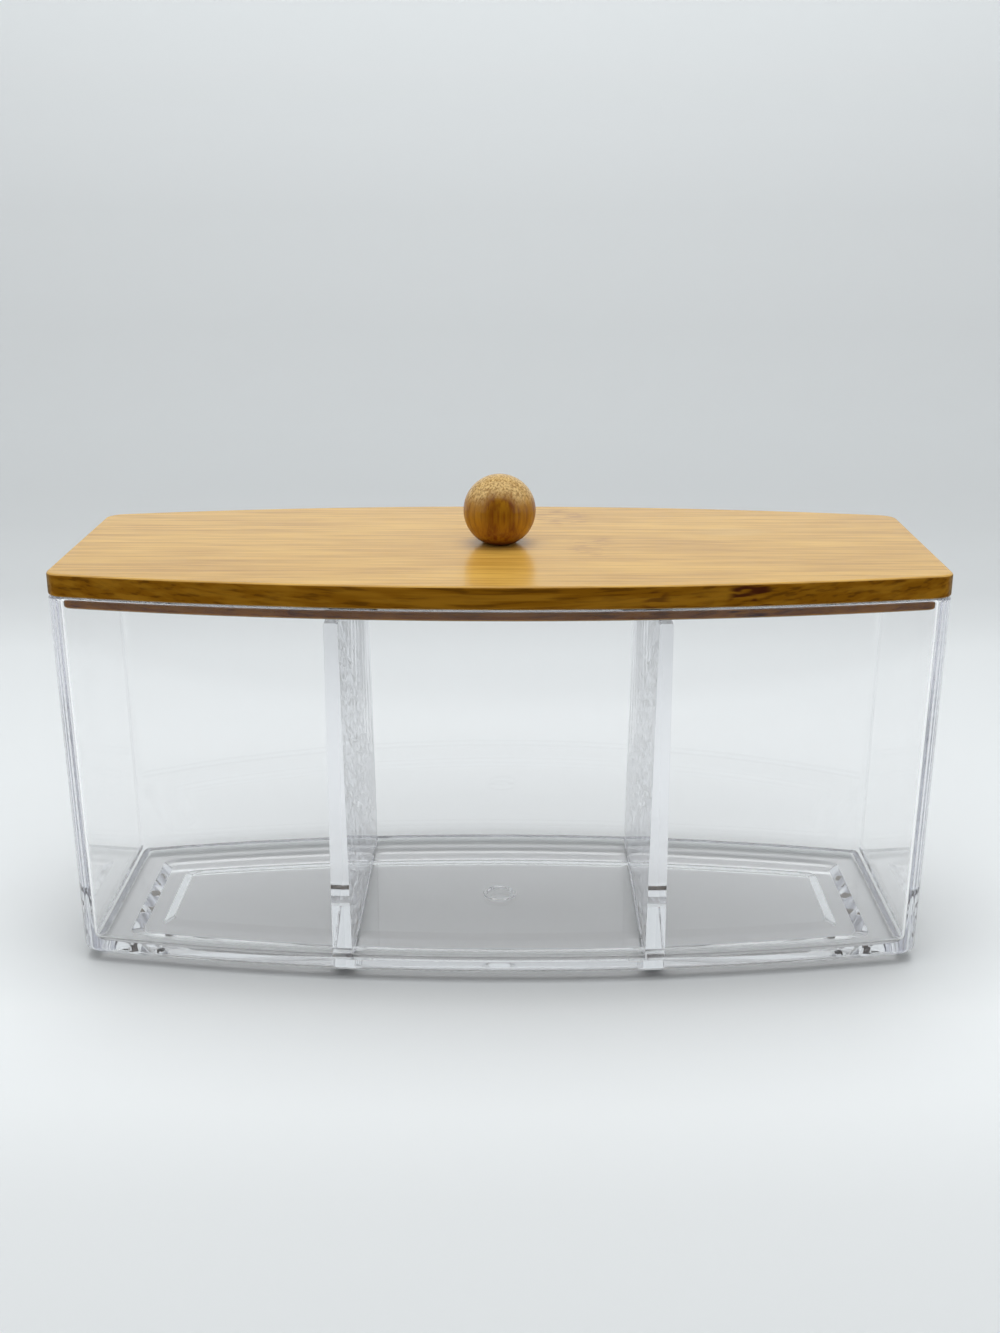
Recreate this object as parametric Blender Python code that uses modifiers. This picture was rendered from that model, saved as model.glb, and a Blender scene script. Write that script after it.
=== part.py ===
"""Clear three-compartment organiser box with a bamboo lid and a ball knob.

Metres, +Z up. The origin is under the middle of the box, on the surface it stands on.
The long side runs along X. The lid lifts straight up along Z, guided by the plug under it.
"""

import math

import bmesh
import bpy
from mathutils import Matrix

# Plan of the rim: straight ends, and a front and a back that bow outwards
RIM_LENGTH = 0.235
END_DEPTH = 0.0687
SIDE_BOW = 0.0121
CORNER_RADIUS = 0.0048

# Box moulding
BOX_HEIGHT = 0.1058
WALL = 0.0036
OUTER_DRAFT = 0.0008
INNER_DRAFT = 0.0008
INNER_CORNER_RADIUS = 0.0016
RIM_OUTER_ROUND = 0.0007
RIM_INNER_ROUND = 0.0004
BOTTOM_ROUND = 0.0020
FLOOR_THICKNESS = 0.0025
FLOOR_FILLET = 0.0030

# Foot ring under the floor, measured inwards from the edge of the base
FOOT_HEIGHT = 0.0025
FOOT_INSET = 0.0116
FOOT_WIDTH = 0.0070
FOOT_SLOPE = 0.0030
FOOT_CORNER_RADIUS = 0.0034

# Round dimple that the moulding gate leaves in the middle of the floor
GATE_DIAMETER = 0.0090
GATE_DEPTH = 0.0004

# Dividers, moulded in one with the box
DIVIDER_SPACING = 0.0854
DIVIDER_TOP_THICKNESS = 0.0036
DIVIDER_DRAFT = 0.0009
DIVIDER_TOP_ROUND = 0.0005
DIVIDER_BELOW_PLUG = 0.0007
DIVIDER_FILLET = 0.0005
DIVIDER_ROOT_SHARE = 0.5

# Lid, one bamboo board with a rebate milled round its underside
LID_BOARD_THICKNESS = 0.0062
PLUG_DEPTH = 0.0038
PLUG_CLEARANCE = 0.0005
PLUG_CORNER_RADIUS = 0.0020
PLUG_EDGE_BEVEL = 0.0009
LID_EDGE_BEVEL = 0.0004

# Ball knob
KNOB_DIAMETER = 0.0200
KNOB_FLAT_DIAMETER = 0.0092

# Countersunk wood screw that holds the knob from under the lid
SCREW_LENGTH = 0.0180
SCREW_SHANK_DIAMETER = 0.0032
SCREW_HEAD_DIAMETER = 0.0066
SCREW_HEAD_HEIGHT = 0.0021
SCREW_TIP_LENGTH = 0.0030
SCREW_HEAD_BELOW_FACE = 0.0004
SCREW_SLOT_LENGTH = 0.0040
SCREW_SLOT_WIDTH = 0.0008
SCREW_SLOT_DEPTH = 0.0011

# Gap between pieces that touch, and how far a cutter runs past what it cuts
SEAT_GAP = 0.0003
CUT_OVERRUN = 0.0020

# Facets
SIDE_STEPS = 26
CORNER_STEPS = 6
ROUND_STEPS = 4
KNOB_STEPS = 20
TURN_STEPS = 40
SCREW_STEPS = 24
SMOOTH_ANGLE = math.radians(30)
MERGE_DISTANCE = 0.00001

# Sizes that follow from the ones above
RIM_HALF = RIM_LENGTH / 2
SIDE_RADIUS = (RIM_HALF ** 2 + SIDE_BOW ** 2) / (2 * SIDE_BOW)
SIDE_CENTRE = END_DEPTH / 2 + SIDE_BOW - SIDE_RADIUS
BASE_Z = FOOT_HEIGHT
FLOOR_Z = BASE_Z + FLOOR_THICKNESS
LID_SEAT_Z = BOX_HEIGHT + SEAT_GAP
PLUG_Z = LID_SEAT_Z - PLUG_DEPTH
LID_TOP_Z = LID_SEAT_Z + LID_BOARD_THICKNESS
DIVIDER_TOP_Z = PLUG_Z - DIVIDER_BELOW_PLUG
KNOB_BASE_Z = LID_TOP_Z + SEAT_GAP

CLEAR_PLASTIC = ("clear_plastic", (0.90, 0.92, 0.95), 0.05, 0.0, 1.0)
BAMBOO_BOARD = ("bamboo_board", (0.66, 0.46, 0.24), 0.38, 0.0, 0.0)
BAMBOO_BALL = ("bamboo_ball", (0.50, 0.30, 0.12), 0.42, 0.0, 0.0)
ZINC_STEEL = ("zinc_steel", (0.62, 0.63, 0.64), 0.35, 1.0, 0.0)


def clear_scene():
    for item in list(bpy.data.objects):
        bpy.data.objects.remove(item, do_unlink=True)


def new_collection(name):
    collection = bpy.data.collections.new(name)
    bpy.context.scene.collection.children.link(collection)
    return collection


def make_material(finish):
    name, colour, roughness, metallic, transmission = finish
    material = bpy.data.materials.new(name)
    material.use_nodes = True
    shader = material.node_tree.nodes["Principled BSDF"]
    shader.inputs["Base Color"].default_value = (*colour, 1.0)
    shader.inputs["Roughness"].default_value = roughness
    shader.inputs["Metallic"].default_value = metallic
    shader.inputs["Transmission Weight"].default_value = transmission
    material.diffuse_color = (*colour, 1.0)
    return material


def add_object(name, mesh, collection, finish=None):
    item = bpy.data.objects.new(name, mesh)
    collection.objects.link(item)
    if finish:
        mesh.materials.append(make_material(finish))
    return item


def arc_points(centre_x, centre_y, radius, start, end, steps):
    """Points along an arc from one angle to another, both ends included."""
    angles = [start + (end - start) * step / steps for step in range(steps + 1)]
    return [(centre_x + radius * math.cos(a), centre_y + radius * math.sin(a)) for a in angles]


def barrel_outline(inset, corner):
    """The rim's plan moved inwards, with round corners that touch the end and the bowed side.

    The back half runs from the right end to the left one, and the front half mirrors it.
    """
    right = RIM_HALF - inset
    side = SIDE_RADIUS - inset
    corner_x = right - corner
    corner_y = SIDE_CENTRE + math.sqrt((side - corner) ** 2 - corner_x ** 2)
    turn = math.atan2(corner_y - SIDE_CENTRE, corner_x)
    back = arc_points(corner_x, corner_y, corner, 0, turn, CORNER_STEPS)
    back += arc_points(0, SIDE_CENTRE, side, turn, math.pi - turn, SIDE_STEPS)[1:-1]
    back += arc_points(-corner_x, corner_y, corner, math.pi - turn, math.pi, CORNER_STEPS)
    front = [(-x, -y) for x, y in back]
    return back + front


def loft(name, rings):
    """A closed skin through outlines of equal point count, with a flat face at each end.

    Each ring is an inset from the rim's plan, a corner radius and a height. The rings start at
    the middle of the underside, climb the outside and come down the inside or close on top.
    """
    shape = bmesh.new()
    loops = []
    for inset, corner, height in rings:
        loops.append([shape.verts.new((x, y, height)) for x, y in barrel_outline(inset, corner)])
    for low, high in zip(loops, loops[1:]):
        for index, start in enumerate(low):
            after = (index + 1) % len(low)
            shape.faces.new((start, low[after], high[after], high[index]))
    shape.faces.new(loops[0][::-1])
    shape.faces.new(loops[-1])
    mesh = bpy.data.meshes.new(name)
    shape.to_mesh(mesh)
    shape.free()
    return mesh


def quarter_round(radius, steps):
    """Points of a quarter round, each as its way in from the first side and from the second."""
    turns = [math.pi / 2 * step / steps for step in range(steps + 1)]
    return [(radius * (1 - math.sin(t)), radius * (1 - math.cos(t))) for t in turns]


def box_rings():
    """Section of the box, carried round its plan from under the floor to the top of the floor."""
    base_inset = OUTER_DRAFT
    foot_outer = base_inset + FOOT_INSET
    foot_inner = foot_outer + 2 * FOOT_SLOPE + FOOT_WIDTH
    rings = [
        (foot_inner, FOOT_CORNER_RADIUS, BASE_Z),
        (foot_inner - FOOT_SLOPE, FOOT_CORNER_RADIUS, 0),
        (foot_outer + FOOT_SLOPE, FOOT_CORNER_RADIUS, 0),
        (foot_outer, FOOT_CORNER_RADIUS, BASE_Z),
    ]
    for along, up in quarter_round(BOTTOM_ROUND, ROUND_STEPS):
        rings.append((base_inset + along, CORNER_RADIUS, BASE_Z + up))
    for along, down in reversed(quarter_round(RIM_OUTER_ROUND, ROUND_STEPS)):
        rings.append((along, CORNER_RADIUS, BOX_HEIGHT - down))
    for along, down in quarter_round(RIM_INNER_ROUND, ROUND_STEPS):
        rings.append((WALL - along, INNER_CORNER_RADIUS, BOX_HEIGHT - down))
    floor_inset = WALL + INNER_DRAFT
    for up, along in quarter_round(FLOOR_FILLET, ROUND_STEPS):
        rings.append((floor_inset + along, INNER_CORNER_RADIUS, FLOOR_Z + up))
    return rings


def divider_section():
    """Half of a divider's section from its middle line: rounded top, leaning side, filleted root."""
    top_half = DIVIDER_TOP_THICKNESS / 2
    root_half = top_half + DIVIDER_DRAFT
    points = []
    for along, down in quarter_round(DIVIDER_TOP_ROUND, ROUND_STEPS):
        points.append((top_half - along, DIVIDER_TOP_Z - down))
    for up, along in quarter_round(DIVIDER_FILLET, ROUND_STEPS):
        points.append((root_half + along, FLOOR_Z + up))
    points.append((root_half + DIVIDER_FILLET, FLOOR_Z - FLOOR_THICKNESS * DIVIDER_ROOT_SHARE))
    return points


def divider_tool(name, centre_x, collection):
    """A divider with its ends and its root sunk halfway into the walls and the floor."""
    reach_x = abs(centre_x) + DIVIDER_TOP_THICKNESS / 2 + DIVIDER_DRAFT + DIVIDER_FILLET
    wall_middle = WALL * DIVIDER_ROOT_SHARE + OUTER_DRAFT
    half_depth = SIDE_CENTRE + math.sqrt((SIDE_RADIUS - wall_middle) ** 2 - reach_x ** 2)
    right = divider_section()
    section = [(x, z) for x, z in right] + [(-x, z) for x, z in reversed(right)]
    shape = bmesh.new()
    verts = [shape.verts.new((centre_x + x, -half_depth, z)) for x, z in section]
    face = shape.faces.new(verts)
    sweep = bmesh.ops.extrude_face_region(shape, geom=[face])
    moved = [item for item in sweep["geom"] if isinstance(item, bmesh.types.BMVert)]
    bmesh.ops.translate(shape, verts=moved, vec=(0, 2 * half_depth, 0))
    bmesh.ops.recalc_face_normals(shape, faces=shape.faces)
    mesh = bpy.data.meshes.new(name)
    shape.to_mesh(mesh)
    shape.free()
    return as_tool(bpy.data.objects.new(name, mesh), collection)


def as_tool(item, collection):
    """Marks an object as one that only joins or cuts another."""
    for owner in list(item.users_collection):
        owner.objects.unlink(item)
    collection.objects.link(item)
    item.hide_render = True
    item.display_type = "WIRE"
    return item


def combine(target, tool, operation):
    step = target.modifiers.new(tool.name, "BOOLEAN")
    step.operation = operation
    step.solver = "EXACT"
    step.object = tool


def turned(name, profile, steps, collection, finish=None):
    """A profile in X and Z, run down its outer side, turned once round Z."""
    mesh = bpy.data.meshes.new(name)
    edges = [(index, index + 1) for index in range(len(profile) - 1)]
    mesh.from_pydata([(x, 0, z) for x, z in profile], edges, [])
    item = add_object(name, mesh, collection, finish)
    turn = item.modifiers.new("turn", "SCREW")
    turn.axis = "Z"
    turn.steps = steps
    turn.render_steps = steps
    turn.use_merge_vertices = True
    turn.merge_threshold = MERGE_DISTANCE
    turn.use_smooth_shade = True
    return item


def smooth(item):
    item.data.shade_smooth()
    item.data.set_sharp_from_angle(angle=SMOOTH_ANGLE)


def make_box(parts, tools):
    """One moulding: floor, foot ring, drafted walls, and two dividers joined to it."""
    box = add_object("box", loft("box", box_rings()), parts, CLEAR_PLASTIC)
    for side, name in ((-1, "divider_left"), (1, "divider_right")):
        combine(box, divider_tool(name, side * DIVIDER_SPACING / 2, tools), "UNION")
    gate_depth = GATE_DEPTH + CUT_OVERRUN
    bpy.ops.mesh.primitive_cylinder_add(
        vertices=TURN_STEPS,
        radius=GATE_DIAMETER / 2,
        depth=gate_depth,
        location=(0, 0, FLOOR_Z - GATE_DEPTH + gate_depth / 2),
    )
    gate = bpy.context.object
    gate.name = "gate_dimple"
    combine(box, as_tool(gate, tools), "DIFFERENCE")
    smooth(box)
    return box


def lid_rings():
    """Section of the lid: underside of the plug, rebate, board edge and top."""
    plug_inset = WALL + PLUG_CLEARANCE
    bevel = LID_EDGE_BEVEL
    return [
        (plug_inset + PLUG_EDGE_BEVEL, PLUG_CORNER_RADIUS, PLUG_Z),
        (plug_inset, PLUG_CORNER_RADIUS, PLUG_Z + PLUG_EDGE_BEVEL),
        (plug_inset, PLUG_CORNER_RADIUS, LID_SEAT_Z),
        (bevel, CORNER_RADIUS, LID_SEAT_Z),
        (0, CORNER_RADIUS, LID_SEAT_Z + bevel),
        (0, CORNER_RADIUS, LID_TOP_Z - bevel),
        (bevel, CORNER_RADIUS, LID_TOP_Z),
    ]


def screw_profile(grow, below, above):
    """The screw's half section from its tip down to its head, grown all round by a clearance."""
    head_z = PLUG_Z + SCREW_HEAD_BELOW_FACE
    shank = SCREW_SHANK_DIAMETER / 2 + grow
    head = SCREW_HEAD_DIAMETER / 2 + grow
    tip_z = head_z + SCREW_LENGTH + above
    return [
        (0, tip_z),
        (shank, tip_z - SCREW_TIP_LENGTH),
        (shank, head_z + SCREW_HEAD_HEIGHT),
        (head, head_z),
        (head, head_z - below),
        (0, head_z - below),
    ]


def make_lid(parts, tools, lift):
    """The board with its plug, drilled and countersunk for the screw."""
    lid = add_object("lid", loft("lid", lid_rings()), parts, BAMBOO_BOARD)
    below = SCREW_HEAD_BELOW_FACE + CUT_OVERRUN
    hole = turned("screw_hole", screw_profile(SEAT_GAP, below, SEAT_GAP), TURN_STEPS, tools)
    combine(lid, as_tool(hole, tools), "DIFFERENCE")
    smooth(lid)
    lid.parent = lift
    lid.matrix_parent_inverse = Matrix.Translation(-lift.location)
    return lid


def make_knob(parts, lift):
    """A ball with a flat seat and a blind hole for the screw, turned about the lid's middle."""
    ball = KNOB_DIAMETER / 2
    flat = KNOB_FLAT_DIAMETER / 2
    middle = math.sqrt(ball ** 2 - flat ** 2)
    last = math.pi - math.asin(flat / ball)
    turns = [last * step / KNOB_STEPS for step in range(KNOB_STEPS + 1)]
    profile = [(ball * math.sin(t), middle + ball * math.cos(t)) for t in turns]
    profile[0] = (0, middle + ball)
    hole = SCREW_SHANK_DIAMETER / 2 + SEAT_GAP
    screw_tip = PLUG_Z + SCREW_HEAD_BELOW_FACE + SCREW_LENGTH - KNOB_BASE_Z
    profile += [
        (flat, 0),
        (hole, 0),
        (hole, screw_tip - SCREW_TIP_LENGTH + SEAT_GAP),
        (0, screw_tip + SEAT_GAP),
    ]
    knob = turned("knob", profile, TURN_STEPS, parts, BAMBOO_BALL)
    knob.location = (0, 0, KNOB_BASE_Z)
    knob.parent = lift
    knob.matrix_parent_inverse = Matrix.Translation(-lift.location)
    return knob


def make_screw(parts, tools, lift):
    """A countersunk wood screw, head down, with a cross recess."""
    screw = turned("knob_screw", screw_profile(0, 0, 0), SCREW_STEPS, parts, ZINC_STEEL)
    head_z = PLUG_Z + SCREW_HEAD_BELOW_FACE
    slot_depth = SCREW_SLOT_DEPTH + CUT_OVERRUN
    slot_z = head_z + SCREW_SLOT_DEPTH - slot_depth / 2
    for name, turn in (("slot_long", 0), ("slot_cross", math.pi / 2)):
        bpy.ops.mesh.primitive_cube_add(size=1, location=(0, 0, slot_z), rotation=(0, 0, turn))
        slot = bpy.context.object
        slot.name = name
        slot.scale = (SCREW_SLOT_LENGTH, SCREW_SLOT_WIDTH, slot_depth)
        combine(screw, as_tool(slot, tools), "DIFFERENCE")
    screw.parent = lift
    screw.matrix_parent_inverse = Matrix.Translation(-lift.location)
    return screw


def main():
    clear_scene()
    parts = new_collection("bathroom_organizer")
    tools = new_collection("shaping_tools")
    make_box(parts, tools)
    lift = bpy.data.objects.new("lid_lift", None)
    lift.location = (0, 0, LID_SEAT_Z)
    parts.objects.link(lift)
    make_lid(parts, tools, lift)
    make_knob(parts, lift)
    make_screw(parts, tools, lift)
    bpy.context.view_layer.update()


main()
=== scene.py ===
"""Looks of a clear three-compartment organiser box with a bamboo lid and a ball knob.

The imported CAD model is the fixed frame. Every piece here is a surface worked out with numpy in
metres, in the frame's own place, with Z up and the origin under the middle of the box.
"""

import math

import bpy
import numpy as np
from bpy.props import FloatProperty, FloatVectorProperty, PointerProperty
from bpy.types import Operator, Panel, PropertyGroup
from mathutils import Matrix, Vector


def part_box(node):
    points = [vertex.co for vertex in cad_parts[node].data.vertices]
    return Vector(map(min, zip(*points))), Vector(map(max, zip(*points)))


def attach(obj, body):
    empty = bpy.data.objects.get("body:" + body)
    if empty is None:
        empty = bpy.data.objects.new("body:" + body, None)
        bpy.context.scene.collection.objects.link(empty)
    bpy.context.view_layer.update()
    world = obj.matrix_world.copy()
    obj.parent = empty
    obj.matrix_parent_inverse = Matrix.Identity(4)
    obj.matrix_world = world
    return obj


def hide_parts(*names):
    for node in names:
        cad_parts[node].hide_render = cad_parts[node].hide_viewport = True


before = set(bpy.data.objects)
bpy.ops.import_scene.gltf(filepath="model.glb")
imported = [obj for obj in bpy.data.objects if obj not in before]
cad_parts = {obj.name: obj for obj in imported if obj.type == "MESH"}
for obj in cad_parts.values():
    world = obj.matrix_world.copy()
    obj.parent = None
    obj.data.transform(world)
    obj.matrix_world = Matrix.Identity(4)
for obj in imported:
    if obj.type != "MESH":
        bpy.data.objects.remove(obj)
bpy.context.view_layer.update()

bl_info = {
    "name": "Lidded organiser box",
    "version": (1, 0, 0),
    "blender": (4, 5, 0),
    "location": "3D View > Sidebar > Organiser",
    "description": "Clear divided box, bamboo lid and ball knob, with the stage they stand on",
    "category": "Object",
}

BOX_LOW, BOX_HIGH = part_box("box")
LID_LOW, LID_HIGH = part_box("lid")
KNOB_LOW, KNOB_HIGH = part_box("knob")
SCREW_LOW, SCREW_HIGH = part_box("knob_screw")

MM = 0.001

# The camera that took the photo, as fitted to the object's edges
PHOTO_HEIGHT_PIXELS = 1333.0
FOCAL_LENGTH_PIXELS = 1532.64
SENSOR_HEIGHT = 36.0
CAMERA_PLACE = (3.461 * MM, -415.231 * MM, 214.59 * MM)
CAMERA_YAW, CAMERA_PITCH, CAMERA_ROLL = -0.00813, 0.32234, -0.00049

# Painted light and shade on the table's paper, by the distance along it from the middle of the box: pale
# under the box and palest just in front of it, greyer where the paper begins to rise, and pale again high up
PAPER_START, PAPER_LENGTH = -0.2, 2.0
PAPER_PAINTED_LIGHT = (
    (-0.18, 0.89), (-0.14, 0.93), (-0.10, 1.04), (-0.06, 1.16), (0.00, 1.05), (0.10, 1.00),
    (0.21, 0.93), (0.25, 0.905), (0.30, 0.815), (0.35, 0.755), (0.42, 0.745), (0.50, 0.72),
    (0.60, 0.72), (0.93, 0.79), (1.14, 0.84), (1.38, 0.965), (1.58, 1.16), (1.70, 1.32),
)


class OrganiserBoxSettings(PropertyGroup):
    """Sizes and plastic of the clear box."""

    end_depth: FloatProperty(
        name="End depth", description="Straight width of each end", default=68.7 * MM, unit="LENGTH"
    )
    corner_radius: FloatProperty(
        name="Corner radius", description="Outer corner seen from above", default=4.8 * MM, unit="LENGTH"
    )
    wall: FloatProperty(
        name="Wall", description="Wall thickness at the rim", default=3.6 * MM, unit="LENGTH"
    )
    draft: FloatProperty(
        name="Draft", description="How far each wall face leans in over its height", default=0.8 * MM,
        unit="LENGTH",
    )
    floor: FloatProperty(
        name="Floor", description="Floor thickness", default=2.5 * MM, unit="LENGTH"
    )
    foot: FloatProperty(
        name="Foot height", description="Height of the ring under the floor", default=2.5 * MM,
        unit="LENGTH",
    )
    foot_inset: FloatProperty(
        name="Foot inset", description="From the wall's outer face to the ring", default=11.6 * MM,
        unit="LENGTH",
    )
    foot_width: FloatProperty(
        name="Foot width", description="Width of the ring where it leaves the floor", default=10.6 * MM,
        unit="LENGTH",
    )
    inner_corner: FloatProperty(
        name="Inner corner", description="Inner corner seen from above", default=1.6 * MM, unit="LENGTH"
    )
    divider_spacing: FloatProperty(
        name="Divider spacing", description="Between the middles of the dividers", default=85.4 * MM,
        unit="LENGTH",
    )
    divider_top: FloatProperty(
        name="Divider top", description="Thickness of a divider at its top", default=3.6 * MM, unit="LENGTH"
    )
    tint: FloatVectorProperty(
        name="Tint", description="Colour that thick plastic takes on", subtype="COLOR", size=3,
        min=0, max=1, default=(0.69, 0.695, 0.77),
    )
    tint_density: FloatProperty(
        name="Tint density", description="Share that a metre of plastic takes away", default=3.0, min=0
    )
    index: FloatProperty(
        name="Refractive index", description="How strongly the plastic bends light", default=1.55,
        min=1, max=2,
    )


class OrganiserLidSettings(PropertyGroup):
    """Sizes and bamboo of the lid."""

    edge_round: FloatProperty(
        name="Edge round", description="Rounding of the board's edges", default=0.7 * MM, unit="LENGTH"
    )
    plug_clearance: FloatProperty(
        name="Plug clearance", description="Gap between the plug and the rim", default=0.5 * MM,
        unit="LENGTH",
    )
    plug_depth: FloatProperty(
        name="Plug depth", description="How far the plug reaches into the box", default=3.8 * MM,
        unit="LENGTH",
    )
    strip_width: FloatProperty(
        name="Strip width", description="Width of the bamboo strips", default=19.5 * MM, unit="LENGTH"
    )
    light_wood: FloatVectorProperty(
        name="Light bamboo", description="Paler fibres of the board", subtype="COLOR", size=3,
        min=0, max=1, default=(0.85, 0.515, 0.105),
    )
    dark_wood: FloatVectorProperty(
        name="Dark bamboo", description="Darker streaks of the board", subtype="COLOR", size=3,
        min=0, max=1, default=(0.46, 0.225, 0.032),
    )
    # Darker partly from the cut wood and partly as painted shade of the faces that turn away from the
    # overhead light
    side_wood_and_shade: FloatVectorProperty(
        name="Side bamboo", description="Cut faces round the board", subtype="COLOR", size=3,
        min=0, max=1, default=(0.31, 0.122, 0.004),
    )
    fleck: FloatVectorProperty(
        name="Fleck", description="Fibre ends in the cut faces", subtype="COLOR", size=3,
        min=0, max=1, default=(0.13, 0.045, 0.002),
    )


class OrganiserKnobSettings(PropertyGroup):
    """Sizes and bamboo of the ball knob."""

    flat: FloatProperty(
        name="Seat", description="Diameter of the flat that sits on the lid", default=9.2 * MM,
        unit="LENGTH",
    )
    bore: FloatProperty(
        name="Bore", description="Radius of the hole for the screw, in the lid too", default=1.9 * MM,
        unit="LENGTH",
    )
    light_wood: FloatVectorProperty(
        name="Light bamboo", description="Paler fibres of the ball", subtype="COLOR", size=3,
        min=0, max=1, default=(0.54, 0.265, 0.009),
    )
    # The ball's middle strip, painted darker as shade, leans towards this colour too
    dark_wood: FloatVectorProperty(
        name="Dark bamboo", description="Darker fibres of the ball", subtype="COLOR", size=3,
        min=0, max=1, default=(0.20, 0.052, 0.002),
    )


class OrganiserStageSettings(PropertyGroup):
    """Floor, light and camera."""

    floor_colour: FloatVectorProperty(
        name="Floor", description="Colour of the table", subtype="COLOR", size=3,
        min=0, max=1, default=(0.835, 0.868, 0.882),
    )
    lamp_power: FloatProperty(
        name="Lamp", description="Power of the overhead light", default=7.3, subtype="POWER"
    )
    dome_strength: FloatProperty(
        name="Dome", description="Strength of the soft light all round", default=1.235, min=0
    )
    room_light: FloatProperty(
        name="Room", description="Brightness of the room behind the camera", default=0.06, min=0
    )


def quarter_round(radius, steps):
    """Points of a quarter circle between two faces: (r - r sin t, r - r cos t), t from 0 to 90 degrees."""
    turn = np.linspace(0, np.pi / 2, steps + 1)
    return radius * (1 - np.sin(turn)), radius * (1 - np.cos(turn))


def side_arc(sizes):
    """Radius of the bowed sides and the Y of its centre: (half length squared + bow squared) / (2 bow)."""
    half = (BOX_HIGH.x - BOX_LOW.x) / 2
    bow = BOX_HIGH.y - sizes.end_depth / 2
    radius = (half**2 + bow**2) / (2 * bow)
    return radius, BOX_HIGH.y - radius


def barrel_rings(inset, corner, height, sizes, side_steps=96, corner_steps=12, end_steps=10):
    """Rings of the bowed plan, one for each inset, corner radius and height.

    A quarter is a straight end, a round corner that touches the end and the side, and an arc
    whose centre lies on the middle line. The other quarters mirror it. All rings have the same
    number of points.
    """
    inset, corner, height = (np.asarray(v, float)[:, None] for v in (inset, corner, height))
    radius, centre = side_arc(sizes)
    right, side = BOX_HIGH.x - inset, radius - inset
    corner_x = right - corner
    corner_y = centre + np.sqrt((side - corner) ** 2 - corner_x**2)
    turn = np.arctan2(corner_y - centre, corner_x)
    along = np.linspace(0, 1, end_steps + 1)[None, :]
    x = [right + 0 * along, corner_x + corner * np.cos(turn * np.linspace(0, 1, corner_steps + 1)[1:])]
    y = [corner_y * along, corner_y + corner * np.sin(turn * np.linspace(0, 1, corner_steps + 1)[1:])]
    swing = turn + (np.pi / 2 - turn) * np.linspace(0, 1, side_steps + 1)[1:]
    x.append(side * np.cos(swing))
    y.append(centre + side * np.sin(swing))
    x, y = np.hstack(x), np.hstack(y)
    x, y = np.hstack([x, -x[:, -2::-1]]), np.hstack([y, y[:, -2::-1]])
    x, y = np.hstack([x, -x[:, 1:-1]]), np.hstack([y, -y[:, 1:-1]])
    return np.stack([x, y, np.broadcast_to(height, x.shape)], axis=2)


def circle_rings(radius, height, like):
    """Round rings with a point in the same direction as each point of another ring."""
    angle = np.arctan2(like[:, 1], like[:, 0])[None, :]
    radius, height = (np.asarray(v, float)[:, None] for v in (radius, height))
    x, y = radius * np.cos(angle), radius * np.sin(angle)
    return np.stack([x, y, np.broadcast_to(height, x.shape)], axis=2)


def turn_outwards(mesh):
    """Turns a closed mesh the right way out if its signed volume is negative."""
    mesh.calc_loop_triangles()
    points = np.empty(len(mesh.vertices) * 3)
    mesh.vertices.foreach_get("co", points)
    corners = np.empty(len(mesh.loop_triangles) * 3, np.int32)
    mesh.loop_triangles.foreach_get("vertices", corners)
    a, b, c = points.reshape(-1, 3)[corners.reshape(-1, 3)].transpose(1, 0, 2)
    if np.einsum("ij,ij->i", a, np.cross(b, c)).sum() < 0:
        mesh.flip_normals()


def grid_mesh(name, rings, wrap=False):
    """A closed skin of quads over a grid of closed rings.

    It has flat caps at its ends, or its last ring is joined to its first.
    """
    rows, columns, _ = rings.shape
    index = np.arange(rows * columns).reshape(rows, columns)
    low = index if wrap else index[:-1]
    high = np.roll(index, -1, axis=0) if wrap else index[1:]
    quads = np.stack([low, np.roll(low, -1, axis=1), np.roll(high, -1, axis=1), high], axis=2)
    faces = quads.reshape(-1, 4).tolist()
    if not wrap:
        faces += [index[0][::-1].tolist(), index[-1].tolist()]
    mesh = bpy.data.meshes.new(name)
    mesh.from_pydata(rings.reshape(-1, 3), [], faces)
    mesh.update()
    turn_outwards(mesh)
    return mesh


def turned_mesh(name, radius, height, steps):
    """A profile of radii and heights turned once round Z; flat caps stand for its two ends on the axis."""
    angle = np.linspace(0, 2 * np.pi, steps, endpoint=False)[None, :]
    radius, height = (np.asarray(v, float)[1:-1, None] for v in (radius, height))
    x, y = radius * np.cos(angle), radius * np.sin(angle)
    return grid_mesh(name, np.stack([x, y, np.broadcast_to(height, x.shape)], axis=2))


def add_object(name, data):
    """Links a new object of a mesh, a lamp or a camera to the scene."""
    made = bpy.data.objects.new(name, data)
    bpy.context.scene.collection.objects.link(made)
    return made


def shade(piece, angle):
    """Shades a piece smooth but for edges sharper than an angle in degrees."""
    piece.data.shade_smooth()
    piece.data.set_sharp_from_angle(angle=math.radians(angle))


def new_material(name):
    """A material with an empty tree of nodes."""
    material = bpy.data.materials.new(name)
    material.use_nodes = True
    tree = material.node_tree
    tree.nodes.clear()
    return material, tree


def node(tree, kind, inputs=(), **settings):
    """Adds a node, sets its options, and sets or links its inputs by name or number."""
    made = tree.nodes.new(kind)
    for key, value in settings.items():
        setattr(made, key, value)
    for key, value in dict(inputs).items():
        if isinstance(value, bpy.types.NodeSocket):
            tree.links.new(value, made.inputs[key])
        else:
            made.inputs[key].default_value = value
    return made


def maths(tree, operation, *values):
    """One step of arithmetic."""
    made = node(tree, "ShaderNodeMath", dict(enumerate(values)), operation=operation)
    return made.outputs[0]


def product(tree, *values):
    """All values multiplied."""
    result = values[0]
    for value in values[1:]:
        result = maths(tree, "MULTIPLY", result, value)
    return result


def split(tree, vector):
    """The X, Y and Z of a vector."""
    return tuple(node(tree, "ShaderNodeSeparateXYZ", {0: vector}).outputs)


def join(tree, *values):
    """A vector of an X, a Y and a Z."""
    return node(tree, "ShaderNodeCombineXYZ", dict(enumerate(values))).outputs[0]


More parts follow.
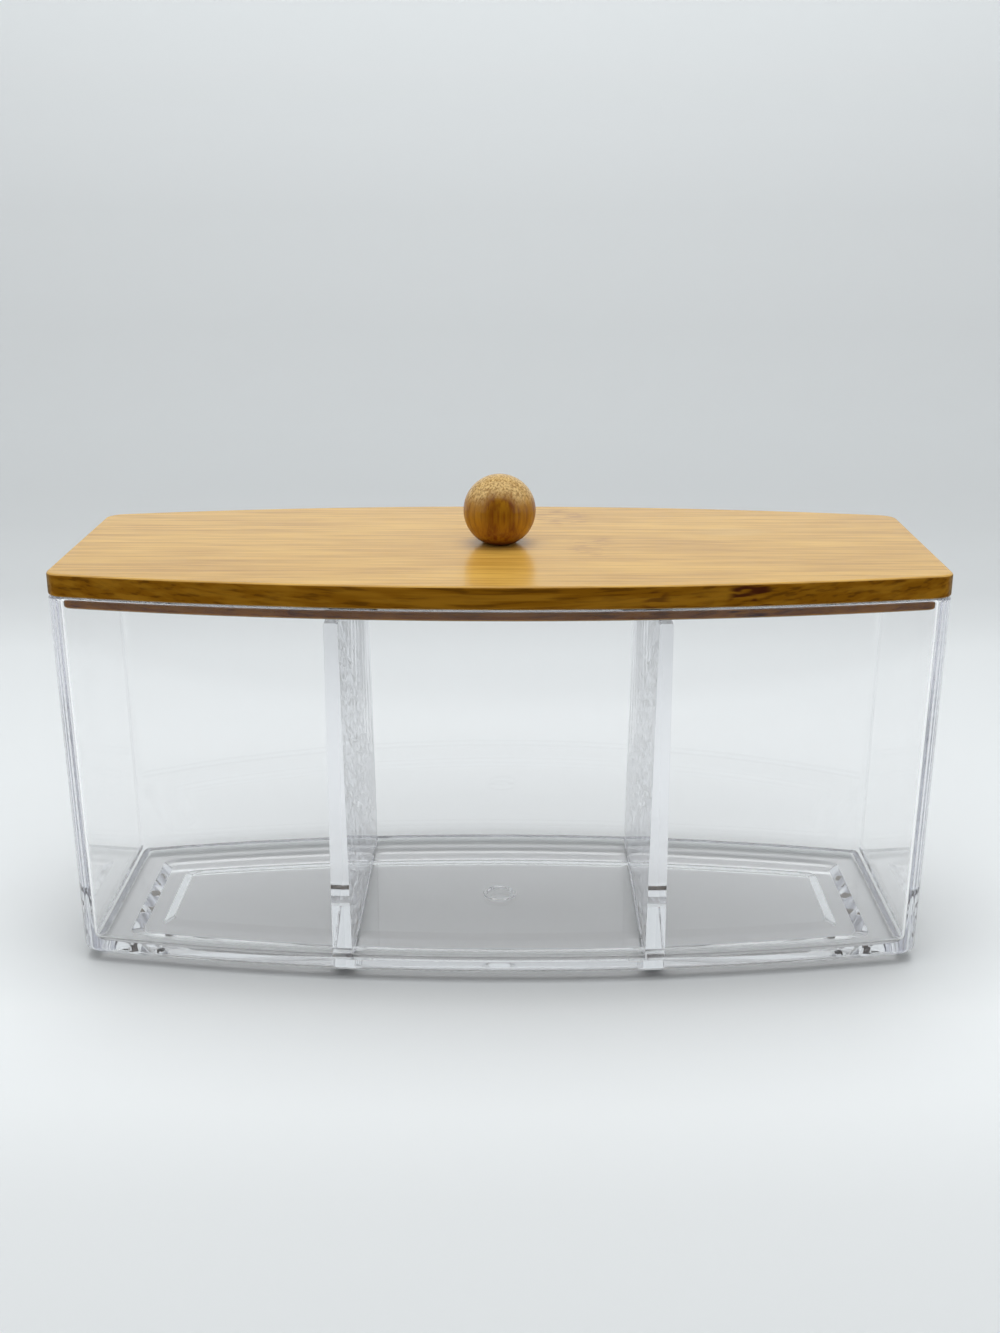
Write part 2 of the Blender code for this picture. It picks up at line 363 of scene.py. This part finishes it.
def ramp(tree, factor, stops):
    """A colour ramp whose stops are (place, grey or colour)."""
    made = tree.nodes.new("ShaderNodeValToRGB")
    elements = made.color_ramp.elements
    while len(elements) < len(stops):
        elements.new(0.5)
    for element, (place, colour) in zip(elements, stops):
        element.position = place
        element.color = (colour, colour, colour, 1) if isinstance(colour, (int, float)) else (*colour, 1)
    tree.links.new(factor, made.inputs[0])
    return made.outputs[0]


def mix_colour(tree, factor, first, second, mode="MIX"):
    """Blends two colours, by a mode, as far as a factor says."""
    made = node(tree, "ShaderNodeMix", data_type="RGBA", blend_type=mode)
    for key, value in ((0, factor), (6, first), (7, second)):
        if isinstance(value, bpy.types.NodeSocket):
            tree.links.new(value, made.inputs[key])
        elif isinstance(value, (int, float)):
            made.inputs[key].default_value = value
        else:
            made.inputs[key].default_value = (*value, 1)
    return made.outputs[2]


def between(tree, value, start, end):
    """0 below the start, 1 above the end, and a smooth step between; the start may be the larger."""
    inputs = {"Value": value, "From Min": start, "From Max": end}
    return node(tree, "ShaderNodeMapRange", inputs, interpolation_type="SMOOTHSTEP").outputs[0]


def band(tree, value, start, end, edge):
    """1 between a start and an end, falling to 0 over an edge just inside them."""
    rise, fall = between(tree, value, start, start + edge), between(tree, value, end, end - edge)
    return product(tree, rise, fall)


def fibres(tree, place, stretch, detail=3.0):
    """Noise from 0 to 1 whose grains are one over the stretch long, in metres, each way."""
    pulled = node(tree, "ShaderNodeVectorMath", {0: place, 1: stretch}, operation="MULTIPLY")
    inputs = {"Vector": pulled.outputs[0], "Scale": 1.0, "Detail": detail, "Roughness": 0.55}
    return node(tree, "ShaderNodeTexNoise", inputs).outputs["Fac"]


def ellipse(tree, point, centre, half):
    """Squared distance from the middle of an ellipse: 0 in the middle and 1 at its edge."""
    squares = []
    for value, middle, size in zip(point, centre, half):
        away = maths(tree, "ABSOLUTE", maths(tree, "SUBTRACT", value, middle))
        squares.append(maths(tree, "POWER", maths(tree, "DIVIDE", away, size), 2.0))
    return maths(tree, "ADD", *squares)


def patch(tree, x, y, centre, half):
    """1 in the middle of an ellipse, falling to 0 at its edge; its place and half size are in millimetres."""
    centre, half = [v * MM for v in centre], [v * MM for v in half]
    return between(tree, ellipse(tree, (x, y), centre, half), 1.0, 0.2)


def surface_output(tree, shader):
    """Makes a shader the material's surface."""
    node(tree, "ShaderNodeOutputMaterial", {"Surface": shader.outputs[0]})


def light_passed(tree, sizes):
    """Colour of the lamplight and bounced light that the box lets through, place by place.

    It is dark under the walls and the dividers and on the rim, because they guide the light they
    catch along inside. At the back the foot ring gathers light into two lines brighter than the
    table round them, with a dark line behind them.
    """
    x, y, up = split(tree, node(tree, "ShaderNodeTexCoord").outputs["Object"])
    across = maths(tree, "ABSOLUTE", x)
    radius, centre = side_arc(sizes)
    out = maths(tree, "SUBTRACT", maths(tree, "ABSOLUTE", y), centre)
    reach = maths(tree, "SQRT", maths(tree, "ADD", product(tree, across, across), product(tree, out, out)))
    from_end = maths(tree, "SUBTRACT", BOX_HIGH.x, across)
    from_side = maths(tree, "SUBTRACT", radius, reach)
    beside = maths(tree, "ABSOLUTE", maths(tree, "SUBTRACT", across, sizes.divider_spacing / 2))
    front = maths(tree, "LESS_THAN", y, 0.0)
    underneath = maths(tree, "LESS_THAN", up, sizes.foot + 0.1 * MM)

    # The shadow of a side wall lies a little outside it, and further out at the front
    shift = maths(tree, "MULTIPLY_ADD", front, 0.9 * MM, 0.4 * MM)
    inset = maths(tree, "MINIMUM", from_end, maths(tree, "ADD", from_side, shift))
    wall_foot = sizes.wall + sizes.draft
    wall_height = maths(tree, "MULTIPLY_ADD", front, 3.6 * MM, sizes.foot + 2.5 * MM)
    wall = product(
        tree,
        between(tree, inset, wall_foot + 1.0 * MM, wall_foot),
        between(tree, inset, 0.5 * MM, 1.0 * MM),
        maths(tree, "LESS_THAN", up, wall_height),
    )
    rim = maths(tree, "GREATER_THAN", up, BOX_HIGH.z - 0.5 * MM)
    divider = maths(tree, "LESS_THAN", beside, sizes.divider_top / 2 + 1.1 * MM)
    dark = maths(tree, "MAXIMUM", maths(tree, "MAXIMUM", wall, rim), product(tree, divider, underneath))
    passed = mix_colour(tree, dark, (0.942, 0.937, 0.938), (0.02, 0.02, 0.02))

    foot = sizes.draft + sizes.foot_inset
    back = product(
        tree,
        maths(tree, "SUBTRACT", 1.0, front),
        maths(tree, "GREATER_THAN", from_end, foot + 1.5 * MM),
        maths(tree, "GREATER_THAN", beside, sizes.divider_top / 2 + 2.6 * MM),
        underneath,
    )
    lines = (
        (-1.6, 0.9, (0.05, 0.05, 0.05)),
        (0.9, 3.1, (1.75, 1.76, 1.77)),
        (6.3, 8.3, (1.80, 1.81, 1.82)),
    )
    for start, end, colour in lines:
        line = band(tree, from_side, foot + start * MM, foot + end * MM, 0.4 * MM)
        passed = mix_colour(tree, product(tree, line, back), passed, colour)
    return passed


def clear_plastic(sizes):
    """Clear polystyrene: it bends light, tints it slightly with depth, and lets lamps shine through."""
    material, tree = new_material("clear_plastic")
    shader = node(
        tree,
        "ShaderNodeBsdfPrincipled",
        {
            "Base Color": (1.0, 1.0, 1.0, 1.0),
            "Roughness": 0.0,
            "IOR": sizes.index,
            "Transmission Weight": 1.0,
        },
    )
    passing = node(tree, "ShaderNodeBsdfTransparent", {"Color": light_passed(tree, sizes)})
    path = node(tree, "ShaderNodeLightPath")
    for ray in ("Is Diffuse Ray", "Is Shadow Ray"):
        inputs = {0: path.outputs[ray], 1: shader.outputs[0], 2: passing.outputs[0]}
        shader = node(tree, "ShaderNodeMixShader", inputs)
    inputs = {"Color": (*sizes.tint, 1.0), "Density": sizes.tint_density}
    depth = node(tree, "ShaderNodeVolumeAbsorption", inputs)
    node(tree, "ShaderNodeOutputMaterial", {"Surface": shader.outputs[0], "Volume": depth.outputs[0]})
    return material


def lacquered(tree, colour, coat, coat_roughness, bump):
    """Matt wood under a clear coat; only the coat follows the bump."""
    return node(
        tree,
        "ShaderNodeBsdfPrincipled",
        {
            "Base Color": colour,
            "Roughness": 0.6,
            "Specular IOR Level": 0.03,
            "Coat Weight": coat,
            "Coat Roughness": coat_roughness,
            "Coat Normal": bump.outputs[0],
        },
    )


def board_face(tree, point, lid):
    """Colour of the board's flat faces, and the tone behind it.

    Strips lie side by side along X, each slid along by its own amount. Long streaks, fine fibres
    and soft clouds make the tone. Dark dashes cluster where the canes had their nodes.
    """
    x, y, z = split(tree, point)
    strip = maths(tree, "FLOOR", maths(tree, "DIVIDE", y, lid.strip_width))
    own = node(tree, "ShaderNodeTexWhiteNoise", {"W": strip}, noise_dimensions="1D").outputs["Value"]
    slid = join(tree, maths(tree, "MULTIPLY_ADD", own, 0.8, x), y, z)
    streaks = between(tree, fibres(tree, slid, (24, 470, 560)), 0.34, 0.64)
    fine = between(tree, fibres(tree, slid, (70, 2300, 2300), 2.0), 0.3, 0.7)
    cloud = between(tree, fibres(tree, point, (14, 55, 40), 2.0), 0.3, 0.7)
    tone = 0.07
    for part, weight in ((fine, 0.26), (streaks, 0.46), (own, 0.10), (cloud, 0.22)):
        tone = maths(tree, "MULTIPLY_ADD", part, weight, tone)
    flat = mix_colour(tree, maths(tree, "MINIMUM", tone, 1.0), lid.dark_wood[:], lid.light_wood[:])
    dash = between(tree, fibres(tree, point, (150, 800, 800), 2.0), 0.50, 0.60)
    for centre, half, strength in (((18, 31), (11, 14), 0.6), ((26, -4), (9, 15), 0.5)):
        mark = product(tree, patch(tree, x, y, centre, half), dash, strength)
        flat = mix_colour(tree, mark, flat, (0.36, 0.15, 0.03))
    pale = product(tree, patch(tree, x, y, (66, 13), (13, 6)), 0.2)
    return mix_colour(tree, pale, flat, (0.80, 0.56, 0.20)), tone


def board_edge(tree, point, facing_x, lid):
    """Colour of the cut faces round the board and the plug, where the fibres lie a little aslant.

    Flecks and broader patches lie over the ground colour, which is darker partly from the cut wood and partly
    as painted shade of the faces that turn away from the overhead light, with two dark marks to the right of
    the middle. The plug is browner, and the two straight ends are paler and grey.
    """
    x, y, z = split(tree, point)
    aslant = join(tree, x, maths(tree, "MULTIPLY_ADD", z, -0.3, y), z)
    flecks = between(tree, fibres(tree, aslant, (90, 1900, 1100), 2.0), 0.48, 0.64)
    # The cut faces' ground colour is darker partly as painted shade
    side = mix_colour(tree, product(tree, flecks, 0.72), lid.side_wood_and_shade[:], lid.fleck[:])
    broad = between(tree, fibres(tree, aslant, (30, 700, 420), 2.0), 0.42, 0.66)
    side = mix_colour(tree, product(tree, broad, 0.62), side, (0.50, 0.23, 0.016))
    grain = between(tree, fibres(tree, aslant, (120, 700, 620), 1.0), 0.46, 0.58)
    for start, end, strength in ((57, 70, 0.95), (35, 44, 0.6)):
        mark = product(tree, band(tree, x, start * MM, end * MM, 3 * MM), grain, strength)
        side = mix_colour(tree, mark, side, (0.07, 0.013, 0.004))
    plug_top = LID_LOW.z + lid.plug_depth
    plug = between(tree, z, plug_top + 0.2 * MM, plug_top - 0.2 * MM)
    side = mix_colour(tree, plug, side, (1.0, 0.78, 0.35), "MULTIPLY")
    dots = between(tree, fibres(tree, point, (900, 1300, 900), 2.0), 0.38, 0.62)
    end_grain = mix_colour(tree, dots, (0.19, 0.115, 0.045), (0.33, 0.225, 0.11))
    return mix_colour(tree, between(tree, maths(tree, "ABSOLUTE", facing_x), 0.5, 0.9), side, end_grain)


def bamboo_board(lid):
    """Lacquered bamboo board; only its flat faces carry the gloss, and where it faces down it is coloured
    darker and greyer.
    """
    material, tree = new_material("bamboo_board")
    source = node(tree, "ShaderNodeTexCoord")
    point = source.outputs["Object"]
    facing_x, _, facing_z = split(tree, source.outputs["Normal"])
    face, tone = board_face(tree, point, lid)
    steep = between(tree, maths(tree, "ABSOLUTE", facing_z), 0.75, 0.35)
    colour = mix_colour(tree, steep, face, board_edge(tree, point, facing_x, lid))
    # Where the board faces down its colour turns a darker, greyer brown
    colour = mix_colour(tree, between(tree, facing_z, -0.5, -0.9), colour, (0.20, 0.155, 0.11))
    bump = node(tree, "ShaderNodeBump", {"Strength": 0.12, "Distance": 0.1 * MM, "Height": tone})
    surface_output(tree, lacquered(tree, colour, maths(tree, "SUBTRACT", 1.0, steep), 0.22, bump))
    return material


def bamboo_ball(knob):
    """Lacquered bamboo ball: fibres upright along Z, so that its top shows their pale, speckled ends; only
    the upper half turns pale, so the pale top is partly end grain and partly painted light from above.

    Its middle strip is painted darker, as painted shade from the dark room in front, and it is darkened round
    its seat with painted shade.
    """
    material, tree = new_material("bamboo_ball")
    source = node(tree, "ShaderNodeTexCoord")
    point = source.outputs["Object"]
    x, _, z = split(tree, point)
    facing_z = split(tree, source.outputs["Normal"])[2]
    upright = between(tree, fibres(tree, point, (1000, 1000, 30), 3.0), 0.3, 0.68)
    broad = between(tree, fibres(tree, point, (260, 260, 12), 2.0), 0.35, 0.65)
    # The middle strip, a few millimetres each side of X = 0, front and back, stays darker: painted shade from
    # the dark room in front
    beside = between(tree, maths(tree, "ABSOLUTE", x), 2.2 * MM, 5.4 * MM)
    tone = -0.08
    for part, weight in ((broad, 0.3), (upright, 0.5), (beside, 0.3)):
        tone = maths(tree, "MULTIPLY_ADD", part, weight, tone)
    side = mix_colour(tree, maths(tree, "MAXIMUM", tone, 0.0), knob.dark_wood[:], knob.light_wood[:])
    grain = fibres(tree, point, (1700, 1700, 900), 2.0)
    ends = mix_colour(tree, between(tree, grain, 0.30, 0.68), (0.38, 0.205, 0.052), (0.86, 0.60, 0.24))
    # Pale ends on the upper half only, reaching lower beside the middle strip: partly end grain, partly
    # painted light from above
    top = between(tree, maths(tree, "MULTIPLY_ADD", beside, 0.22, facing_z), 0.42, 0.78)
    colour = mix_colour(tree, top, side, ends)
    # Painted shade round the seat: the lowest few millimetres of the ball darken to a red-black brown
    base = between(tree, z, LID_HIGH.z + 2.8 * MM, LID_HIGH.z + 0.6 * MM)
    colour = mix_colour(tree, product(tree, base, 0.85), colour, (0.11, 0.014, 0.002))
    bump = node(tree, "ShaderNodeBump", {"Strength": 0.25, "Distance": 0.1 * MM, "Height": grain})
    surface_output(tree, lacquered(tree, colour, 0.7, 0.16, bump))
    return material


def screw_steel():
    """Plain zinc-plated steel."""
    material, tree = new_material("zinc_steel")
    inputs = {"Base Color": (0.62, 0.63, 0.64, 1), "Metallic": 1.0, "Roughness": 0.35}
    surface_output(tree, node(tree, "ShaderNodeBsdfPrincipled", inputs))
    return material


def keep_result(piece):
    """Makes a piece's modifiers part of its mesh."""
    depsgraph = bpy.context.evaluated_depsgraph_get()
    result = bpy.data.meshes.new_from_object(piece.evaluated_get(depsgraph))
    piece.modifiers.clear()
    old = piece.data
    piece.data = result
    bpy.data.meshes.remove(old)


def cut_or_join(piece, tool_mesh, operation):
    """Applies one exact boolean to a piece and removes its tool."""
    tool = add_object("tool", tool_mesh)
    step = piece.modifiers.new("step", "BOOLEAN")
    step.operation, step.solver, step.object = operation, "EXACT", tool
    keep_result(piece)
    bpy.data.objects.remove(tool)
    bpy.data.meshes.remove(tool_mesh)


def level_faces(piece):
    """Lets the largest face at each corner set its normal, so that roundings do not bend the flat faces."""
    step = piece.modifiers.new("normals", "WEIGHTED_NORMAL")
    step.mode, step.weight, step.keep_sharp = "FACE_AREA", 100, True
    keep_result(piece)


def box_shell(sizes):
    """The moulding's section carried round its plan: foot ring, bottom round, walls, rim and floor."""
    base, top, draft, wall = sizes.foot, BOX_HIGH.z, sizes.draft, sizes.wall
    outer_corner, inner_corner, ring_corner = sizes.corner_radius, sizes.inner_corner, 3.4 * MM
    bottom_round, outer_rim, inner_rim, fillet = 2.0 * MM, 0.7 * MM, 0.4 * MM, 3.0 * MM
    outer_slope, inner_slope = 3.0 * MM, 2.8 * MM
    ring_start = draft + sizes.foot_inset
    ring_end = ring_start + sizes.foot_width
    floor_top = base + sizes.floor
    rows = [
        (ring_end, ring_corner, base),
        (ring_end - inner_slope, ring_corner, 0.0),
        (ring_start + outer_slope, ring_corner, 0.0),
        (ring_start, ring_corner, base),
    ]
    for along, up in zip(*quarter_round(bottom_round, 10)):
        rows.append((draft + along, outer_corner, base + up))
    for along, down in reversed(list(zip(*quarter_round(outer_rim, 8)))):
        rows.append((along, outer_corner, top - down))
    for along, down in zip(*quarter_round(inner_rim, 8)):
        rows.append((wall - along, inner_corner, top - down))
    for up, along in zip(*quarter_round(fillet, 12)):
        rows.append((wall + draft + along, inner_corner, floor_top + up))
    return grid_mesh("box_clear", barrel_rings(*zip(*rows), sizes))


def divider_mesh(sizes, side):
    """One divider with its ends sunk into the walls.

    Its section is a rounded top, sides that lean out by the draft, and a quarter round into the
    floor, carried straight from the front wall to the back wall.
    """
    draft, edge = 0.9 * MM, 0.5 * MM
    top_half = sizes.divider_top / 2
    foot_half = top_half + draft
    top = LID_LOW.z - 0.7 * MM
    floor_top = sizes.foot + sizes.floor
    points = []
    for along, down in zip(*quarter_round(edge, 6)):
        points.append((top_half - along, top - down))
    for up, along in zip(*quarter_round(edge, 6)):
        points.append((foot_half + along, floor_top + up))
    points.append((foot_half + edge, floor_top - sizes.floor / 2))
    right = np.array(points)
    loop = np.vstack([right, right[::-1] * (-1, 1)])
    middle = side * sizes.divider_spacing / 2
    radius, centre = side_arc(sizes)
    reach = abs(middle) + foot_half + edge
    depth = centre + math.sqrt((radius - sizes.wall / 2 - sizes.draft) ** 2 - reach**2)
    x, z = middle + loop[:, 0], loop[:, 1]
    rings = [np.column_stack([x, np.full(len(loop), y), z]) for y in (-depth, depth)]
    return grid_mesh("divider", np.stack(rings))


def gate_meshes(sizes):
    """The gate mark in the middle of the floor: a low round rim, and the dimple cut inside it.

    Each is a profile of radii and of heights above the floor, in millimetres.
    """
    top = sizes.foot + sizes.floor
    profiles = (
        ("gate_rim", [0, 4.9, 4.9, 4.7, 4.2, 0], [-0.6, -0.6, 0, 0.2, 0.3, 0.3]),
        ("gate_dimple", [0, 3.0, 3.6, 4.0, 4.3, 0], [-0.4, -0.4, -0.2, 0.35, 1, 1]),
    )
    return [turned_mesh(name, np.array(r) * MM, top + np.array(h) * MM, 64) for name, r, h in profiles]


class ORGANISER_OT_box(Operator):
    """Make the clear box with its two dividers"""

    bl_idname = "organiser.box"
    bl_label = "Clear box"

    def execute(self, context):
        sizes = context.scene.organiser_box
        box = add_object("box_clear", box_shell(sizes))
        rim, dimple = gate_meshes(sizes)
        for side in (-1, 1):
            cut_or_join(box, divider_mesh(sizes, side), "UNION")
        cut_or_join(box, rim, "UNION")
        cut_or_join(box, dimple, "DIFFERENCE")
        shade(box, 30)
        level_faces(box)
        box.data.materials.clear()
        box.data.materials.append(clear_plastic(sizes))
        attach(box, "box")
        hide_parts("box")
        return {"FINISHED"}


class ORGANISER_OT_lid(Operator):
    """Make the bamboo lid with the plug under it and the screw's hole"""

    bl_idname = "organiser.lid"
    bl_label = "Bamboo lid"

    def execute(self, context):
        sizes, lid = context.scene.organiser_box, context.scene.organiser_lid
        bottom, seat, top = LID_LOW.z, LID_LOW.z + lid.plug_depth, LID_HIGH.z
        plug, plug_corner, plug_round = sizes.wall + lid.plug_clearance, 2 * MM, 0.9 * MM
        corner, edge = sizes.corner_radius, lid.edge_round
        inner = 20 * MM
        rows = [(inner, 3 * MM, bottom), (plug + 1.2 * MM, plug_corner, bottom)]
        for along, up in zip(*quarter_round(plug_round, 8)):
            rows.append((plug + along, plug_corner, bottom + up))
        rows += [(plug, plug_corner, seat), (plug - 0.2 * MM, 2.2 * MM, seat)]
        for along, up in zip(*quarter_round(edge, 8)):
            rows.append((along, corner, seat + up))
        for along, down in reversed(list(zip(*quarter_round(edge, 8)))):
            rows.append((along, corner, top - down))
        rows.append((inner, 3 * MM, top))
        outside = barrel_rings(*zip(*rows), sizes)
        # The screw's hole: a bore from the top, and a wider one for the head from below
        bore = context.scene.organiser_knob.bore
        head = (SCREW_HIGH.x - SCREW_LOW.x) / 2 + 0.3 * MM
        head_top = SCREW_LOW.z + 2.1 * MM
        inside = circle_rings([bore, bore, head, head], [top, head_top, SCREW_LOW.z, bottom], outside[-1])
        rings = np.concatenate([inside, outside])
        board = add_object("lid_board", grid_mesh("lid_board", rings, wrap=True))
        shade(board, 40)
        level_faces(board)
        board.data.materials.append(bamboo_board(lid))
        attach(board, "lid")
        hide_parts("lid")
        return {"FINISHED"}


class ORGANISER_OT_knob(Operator):
    """Make the ball knob, and finish the screw that holds it"""

    bl_idname = "organiser.knob"
    bl_label = "Ball knob"

    def execute(self, context):
        knob = context.scene.organiser_knob
        ball, seat = (KNOB_HIGH.x - KNOB_LOW.x) / 2, knob.flat / 2
        base = KNOB_LOW.z
        middle = base + math.sqrt(ball**2 - seat**2)
        turn = np.linspace(0, np.pi - math.asin(seat / ball), 72)
        # The bore ends below the tip of the screw, which bites into the wood
        bore_end = SCREW_HIGH.z - 2.7 * MM
        radius = np.concatenate([ball * np.sin(turn), [knob.bore, knob.bore, 0]])
        height = np.concatenate([middle + ball * np.cos(turn), [base, bore_end, bore_end]])
        piece = add_object("knob_ball", turned_mesh("knob_ball", radius, height, 128))
        shade(piece, 40)
        piece.data.materials.append(bamboo_ball(knob))
        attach(piece, "lid")
        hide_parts("knob")
        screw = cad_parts["knob_screw"]
        screw.data.materials.clear()
        screw.data.materials.append(screw_steel())
        return {"FINISHED"}


def seen_directly(tree):
    """1 where the camera looks straight or through the plastic."""
    path = node(tree, "ShaderNodeLightPath")
    return maths(tree, "MAXIMUM", path.outputs["Is Camera Ray"], path.outputs["Is Transmission Ray"])


def make_table(stage):
    """The paper that the box stands on: flat, then a quarter circle up, then a wall.

    In front, below the picture, the paper turns dark where only reflections and bounced light meet it:
    painted shade and reflection standing in for the dark room there.
    """
    bend, start, half, wall_top = 0.5, 0.85, 6.0, 2.6
    turn = np.linspace(0, np.pi / 2, 33)
    y = np.concatenate([[-half, 0.0], start + bend * np.sin(turn), [start + bend]])
    z = np.concatenate([[0.0, 0.0], bend * (1 - np.cos(turn)), [wall_top]]) - 0.1 * MM
    x = np.broadcast_to([[-half], [half]], (2, len(y)))
    points = np.stack([x, np.tile(y, (2, 1)), np.tile(z, (2, 1))], axis=2)
    index = np.arange(2 * len(y)).reshape(2, -1)
    quads = np.stack([index[0, :-1], index[1, :-1], index[1, 1:], index[0, 1:]], axis=1)
    mesh = bpy.data.meshes.new("table")
    mesh.from_pydata(points.reshape(-1, 3), [], quads.tolist())
    mesh.shade_smooth()
    table = add_object("table", mesh)

    material, tree = new_material("table_paint")
    _, y, z = split(tree, node(tree, "ShaderNodeTexCoord").outputs["Object"])
    along = maths(tree, "SUBTRACT", maths(tree, "ADD", y, z), PAPER_START)
    stops = [((place - PAPER_START) / PAPER_LENGTH, tone) for place, tone in PAPER_PAINTED_LIGHT]
    # Painted light and shade along the paper's length
    tone = ramp(tree, maths(tree, "DIVIDE", along, PAPER_LENGTH), stops)
    paper = mix_colour(tree, 1.0, stage.floor_colour[:], tone, "MULTIPLY")
    # Painted shade and reflection: in front the paper turns dark for reflections and bounced light only
    unseen = maths(tree, "SUBTRACT", 1.0, seen_directly(tree))
    painted_dark_front = product(tree, between(tree, y, -0.24, -0.28), unseen)
    paper = mix_colour(tree, painted_dark_front, paper, (0.05, 0.05, 0.05))
    surface_output(tree, node(tree, "ShaderNodeBsdfDiffuse", {"Color": paper}))
    mesh.materials.append(material)
    return table


def make_lamp(stage):
    """A wide soft light overhead, kept out of reflections."""
    lamp = bpy.data.lights.new("overhead", "AREA")
    lamp.shape, lamp.size, lamp.energy = "SQUARE", 0.9, stage.lamp_power
    overhead = add_object("overhead", lamp)
    overhead.location = (0, 0.25, 1.5)
    overhead.visible_glossy = overhead.visible_transmission = overhead.visible_camera = False


def make_world(stage):
    """Even light from all round, but for the dark shape of the photographer in front."""
    world = bpy.data.worlds.new("room")
    world.use_nodes = True
    tree = world.node_tree
    tree.nodes.clear()
    x, y, z = split(tree, node(tree, "ShaderNodeTexCoord").outputs["Generated"])
    dome = ramp(tree, z, [(0.0, 0.60), (0.30, 0.66), (0.7, 0.78), (1.0, 0.82)])
    figure = between(tree, ellipse(tree, (x, z), (0.0, 0.0), (0.74, 0.78)), 1.15, 0.75)
    figure = product(tree, figure, maths(tree, "LESS_THAN", y, 0.0))
    room = mix_colour(tree, figure, dome, (stage.room_light,) * 3)
    light = node(tree, "ShaderNodeBackground", {"Color": room, "Strength": stage.dome_strength})
    pale = node(tree, "ShaderNodeBackground", {"Color": (0.72, 0.76, 0.78, 1)})
    inputs = {0: seen_directly(tree), 1: light.outputs[0], 2: pale.outputs[0]}
    both = node(tree, "ShaderNodeMixShader", inputs)
    node(tree, "ShaderNodeOutputWorld", {"Surface": both.outputs[0]})
    return world


def make_camera():
    """The camera of the photo, turned by its yaw, its pitch and its roll."""
    camera = bpy.data.cameras.new("camera")
    camera.sensor_fit, camera.sensor_height = "VERTICAL", SENSOR_HEIGHT
    camera.lens = FOCAL_LENGTH_PIXELS * SENSOR_HEIGHT / PHOTO_HEIGHT_PIXELS
    camera.clip_start, camera.clip_end = 0.01, 50.0
    level = math.cos(CAMERA_PITCH)
    ahead = np.array([math.sin(CAMERA_YAW) * level, math.cos(CAMERA_YAW) * level, -math.sin(CAMERA_PITCH)])
    right = np.array([math.cos(CAMERA_YAW), -math.sin(CAMERA_YAW), 0.0])
    up = np.cross(right, ahead)
    cosine, sine = math.cos(CAMERA_ROLL), math.sin(CAMERA_ROLL)
    right, up = cosine * right + sine * up, cosine * up - sine * right
    pose = Matrix.Identity(4)
    for row in range(3):
        pose[row][:3] = right[row], up[row], -ahead[row]
    pose.translation = CAMERA_PLACE
    eye = add_object("camera", camera)
    eye.matrix_world = pose
    return eye


class ORGANISER_OT_stage(Operator):
    """Make the table, the backdrop, the soft light and the camera"""

    bl_idname = "organiser.stage"
    bl_label = "Stage"

    def execute(self, context):
        stage = context.scene.organiser_stage
        scene = context.scene
        table = make_table(stage)
        make_lamp(stage)
        scene.world = make_world(stage)
        scene.camera = make_camera()
        scene.view_settings.view_transform = "Standard"
        # Light goes to and fro many times inside the plastic
        scene.cycles.max_bounces = 96
        scene.cycles.glossy_bounces = 96
        scene.cycles.transmission_bounces = 96
        scene.cycles.transparent_max_bounces = 32
        return {"FINISHED"}


class ORGANISER_PT_panel(Panel):
    """The sidebar's list of pieces"""

    bl_label = "Organiser box"
    bl_space_type = "VIEW_3D"
    bl_region_type = "UI"
    bl_category = "Organiser"

    def draw(self, context):
        for kind in OPERATORS:
            self.layout.operator(kind.bl_idname)


GROUPS = {
    "organiser_box": OrganiserBoxSettings,
    "organiser_lid": OrganiserLidSettings,
    "organiser_knob": OrganiserKnobSettings,
    "organiser_stage": OrganiserStageSettings,
}
OPERATORS = (ORGANISER_OT_stage, ORGANISER_OT_box, ORGANISER_OT_lid, ORGANISER_OT_knob)
CLASSES = (*GROUPS.values(), *OPERATORS, ORGANISER_PT_panel)


def register():
    for kind in CLASSES:
        bpy.utils.register_class(kind)
    for name, kind in GROUPS.items():
        setattr(bpy.types.Scene, name, PointerProperty(type=kind))


def unregister():
    for name in GROUPS:
        delattr(bpy.types.Scene, name)
    for kind in reversed(CLASSES):
        bpy.utils.unregister_class(kind)


def main():
    register()
    bpy.ops.organiser.stage()
    bpy.ops.organiser.box()
    bpy.ops.organiser.lid()
    bpy.ops.organiser.knob()


if __name__ == "__main__":
    main()
